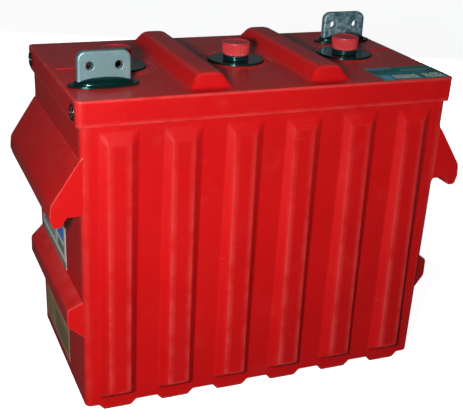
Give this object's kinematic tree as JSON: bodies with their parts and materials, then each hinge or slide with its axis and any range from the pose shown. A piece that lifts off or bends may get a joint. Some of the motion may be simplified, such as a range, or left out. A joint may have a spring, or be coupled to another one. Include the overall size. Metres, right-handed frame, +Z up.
{
  "type": "deep-cycle battery",
  "caption": "Ribbed plastic battery case with a lift-off cover, hooked end grips, filler caps, upright flag terminals and lead-acid cells in inner jars.",
  "frame": {"origin": "middle of the footprint, on the surface the feet stand on", "axes": "+X along the battery's length with the one terminal at -X and -Y and the other at +X and +Y, -Y the long front side, +Z up"},
  "size_m": [0.559, 0.286, 0.464],
  "materials": {
    "red_plastic": "satin moulded polyethylene",
    "red_cap_plastic": "semi-gloss moulded plastic",
    "black_plastic": "gloss moulded plastic",
    "black_rubber": "matt",
    "jar_plastic": "satin moulded plastic",
    "foam_board": "matt foam",
    "separator_sheet": "matt porous sheet",
    "positive_plate": "matt brown paste on a cast grid",
    "negative_plate": "matt grey paste on a cast grid",
    "lead": "dull cast lead, slightly oxidised",
    "plated_steel": "zinc plated",
    "teal_label": "gloss film",
    "pale_label": "gloss film",
    "tan_label": "matt film"
  },
  "bodies": {
    "battery": {"outer_case": "red_plastic", "rim_gasket": "black_rubber", "cell_spacers": "foam_board", "cell_jar_1": "jar_plastic", "positive_plates_1": "positive_plate", "negative_plates_1": "negative_plate", "separators_1": "separator_sheet", "plate_guard_1": "separator_sheet", "cell_lid_1": "black_plastic", "vent_tower_1": "black_plastic", "filler_neck_1": "black_plastic", "positive_strap_1": "lead", "negative_strap_1": "lead", "cell_jar_2": "jar_plastic", "positive_plates_2": "positive_plate", "negative_plates_2": "negative_plate", "separators_2": "separator_sheet", "plate_guard_2": "separator_sheet", "cell_lid_2": "black_plastic", "vent_tower_2": "black_plastic", "filler_neck_2": "black_plastic", "positive_strap_2": "lead", "negative_strap_2": "lead", "cell_jar_3": "jar_plastic", "positive_plates_3": "positive_plate", "negative_plates_3": "negative_plate", "separators_3": "separator_sheet", "plate_guard_3": "separator_sheet", "cell_lid_3": "black_plastic", "vent_tower_3": "black_plastic", "filler_neck_3": "black_plastic", "positive_strap_3": "lead", "negative_strap_3": "lead", "post_seals": "black_rubber", "link_bolts": "plated_steel", "link_washers": "plated_steel", "link_nuts": "plated_steel", "terminal_flag_left": "lead", "terminal_flag_right": "lead", "end_label": "pale_label", "end_sticker": "tan_label"},
    "cover": {"cover": "red_plastic", "cover_skirt": "red_plastic", "cover_ridge_left": "red_plastic", "cover_ridge_right": "red_plastic", "cover_plugs": "black_plastic", "terminal_boot_left": "black_plastic", "terminal_boot_right": "black_plastic", "top_label": "teal_label"},
    "cap_lift_1": {"cap_seal_1": "black_rubber"},
    "cap_1": {"vent_cap_1": "red_cap_plastic", "cap_tube_1": "red_cap_plastic"},
    "cap_lift_2": {"cap_seal_2": "black_rubber"},
    "cap_2": {"vent_cap_2": "red_cap_plastic", "cap_tube_2": "red_cap_plastic"},
    "cap_lift_3": {"cap_seal_3": "black_rubber"},
    "cap_3": {"vent_cap_3": "red_cap_plastic", "cap_tube_3": "red_cap_plastic"}
  },
  "joints": [
    {"name": "cover_lift", "type": "slide", "parent": "battery", "child": "cover", "axis": [0, 0, 1], "range_m": [0, 0.12]},
    {"name": "cap_lift_1", "type": "slide", "parent": "battery", "child": "cap_lift_1", "axis": [0, 0, 1], "range_m": [0, 0.045]},
    {"name": "cap_turn_1", "type": "hinge", "parent": "cap_lift_1", "child": "cap_1", "pos_m": [-0.162, 0, 0.438], "axis": [0, 0, 1], "range_deg": [0, 90]},
    {"name": "cap_lift_2", "type": "slide", "parent": "battery", "child": "cap_lift_2", "axis": [0, 0, 1], "range_m": [0, 0.045]},
    {"name": "cap_turn_2", "type": "hinge", "parent": "cap_lift_2", "child": "cap_2", "pos_m": [0, 0, 0.438], "axis": [0, 0, 1], "range_deg": [0, 90]},
    {"name": "cap_lift_3", "type": "slide", "parent": "battery", "child": "cap_lift_3", "axis": [0, 0, 1], "range_m": [0, 0.045]},
    {"name": "cap_turn_3", "type": "hinge", "parent": "cap_lift_3", "child": "cap_3", "pos_m": [0.162, 0, 0.438], "axis": [0, 0, 1], "range_deg": [0, 90]}
  ]
}
